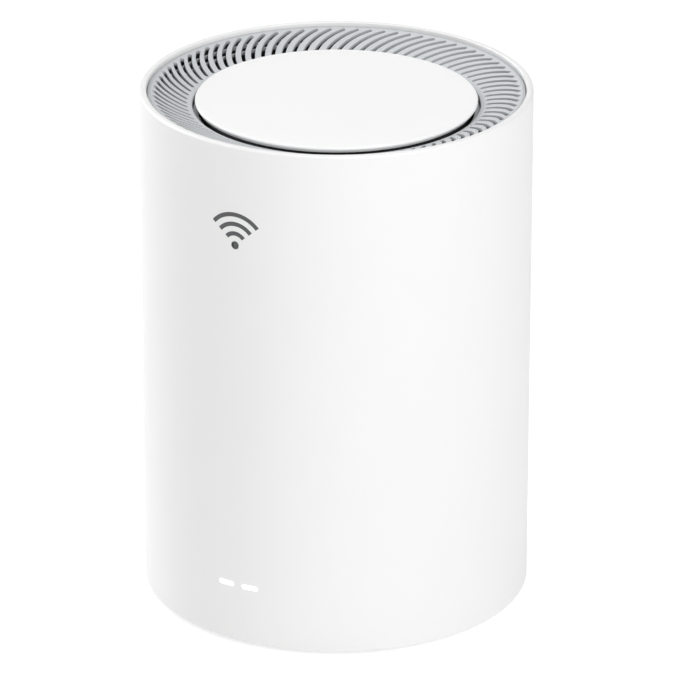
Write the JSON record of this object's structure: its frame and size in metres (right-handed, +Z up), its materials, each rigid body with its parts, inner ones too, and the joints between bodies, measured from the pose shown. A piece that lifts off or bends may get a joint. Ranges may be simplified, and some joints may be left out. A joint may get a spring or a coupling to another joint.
{
  "type": "mesh wifi node",
  "caption": "Upright round wifi node: white shell, louvred vent ring and floating cap disc on top, status lights at the front, recessed port bay with sprung buttons at the back.",
  "frame": {"origin": "centre of the footprint, on the surface that the feet stand on", "axes": "+Z up along the shell's axis; the status lights face -Y and the ports face +Y"},
  "size_m": [0.0996, 0.0996, 0.1355],
  "materials": {
    "white_shell": "satin gloss, moulded white",
    "grille_plastic": "fine matte, white",
    "frame_plastic": "matte, dark grey",
    "base_plastic": "fine matte, white",
    "foot_rubber": "matte grey rubber",
    "screw_steel": "zinc-plated",
    "board_green": "solder resist over glass-epoxy",
    "antenna_board": "solder resist with a bare copper pattern",
    "chip_black": "epoxy moulding",
    "capacitor_can": "bare can with a dark printed stripe",
    "tin_plate": "tin-plated sheet steel",
    "thermal_pad": "soft blue-grey pad",
    "heat_sink_aluminium": "extruded, clear anodised",
    "panel_plastic": "fine matte, near black",
    "dark_plastic": "moulded black",
    "gold_contact": "gold-plated spring contacts",
    "stem_plastic": "moulded black",
    "light_pipe": "clear to milky light pipe, lit white",
    "led_body": "white package with a phosphor face",
    "cable_black": "thin jacketed cable"
  },
  "bodies": {
    "housing": {"outer_sleeve": "white_shell", "top_grille": "grille_plastic", "top_disc": "white_shell", "disc_carrier": "frame_plastic", "carrier_screw_1": "screw_steel", "carrier_screw_2": "screw_steel", "carrier_screw_3": "screw_steel", "base_cover": "base_plastic", "foot_pad_1": "foot_rubber", "base_screw_1": "screw_steel", "foot_pad_2": "foot_rubber", "base_screw_2": "screw_steel", "foot_pad_3": "foot_rubber", "base_screw_3": "screw_steel", "foot_pad_4": "foot_rubber", "base_screw_4": "screw_steel", "chassis_frame": "frame_plastic", "main_board": "board_green", "board_screw_1": "screw_steel", "board_screw_2": "screw_steel", "board_screw_3": "screw_steel", "board_screw_4": "screw_steel", "soc_chip": "chip_black", "memory_chip": "chip_black", "radio_chip": "chip_black", "ethernet_chip": "chip_black", "network_transformer_1": "chip_black", "network_transformer_2": "chip_black", "bulk_capacitor": "capacitor_can", "radio_shield": "tin_plate", "soc_thermal_pad": "thermal_pad", "radio_thermal_pad": "thermal_pad", "heat_sink": "heat_sink_aluminium", "port_panel": "panel_plastic", "wan_jack_shield": "tin_plate", "wan_jack_insert": "dark_plastic", "wan_jack_contacts": "gold_contact", "lan_jack_shield": "tin_plate", "lan_jack_insert": "dark_plastic", "lan_jack_contacts": "gold_contact", "power_jack_body": "dark_plastic", "power_jack_pin": "tin_plate", "pairing_switch_base": "chip_black", "reset_switch_base": "chip_black", "light_guide": "light_pipe", "light_board": "board_green", "status_led_left": "led_body", "status_led_right": "led_body", "antenna_1": "antenna_board", "antenna_cable_1": "cable_black", "antenna_2": "antenna_board", "antenna_cable_2": "cable_black", "antenna_3": "antenna_board", "antenna_cable_3": "cable_black", "antenna_4": "antenna_board", "antenna_cable_4": "cable_black", "light_cable": "cable_black"},
    "pairing_plunger": {"pairing_button": "white_shell", "pairing_switch_stem": "stem_plastic"},
    "reset_plunger": {"reset_switch_stem": "stem_plastic"}
  },
  "joints": [
    {"name": "pairing_press", "type": "slide", "parent": "housing", "child": "pairing_plunger", "axis": [0, -1, 0], "range_m": [0, 0.0005], "stiffness_N_per_m": 3000, "springref_m": -0.0002},
    {"name": "reset_press", "type": "slide", "parent": "housing", "child": "reset_plunger", "axis": [0, -1, 0], "range_m": [0, 0.0004], "stiffness_N_per_m": 3000, "springref_m": -0.0002}
  ]
}
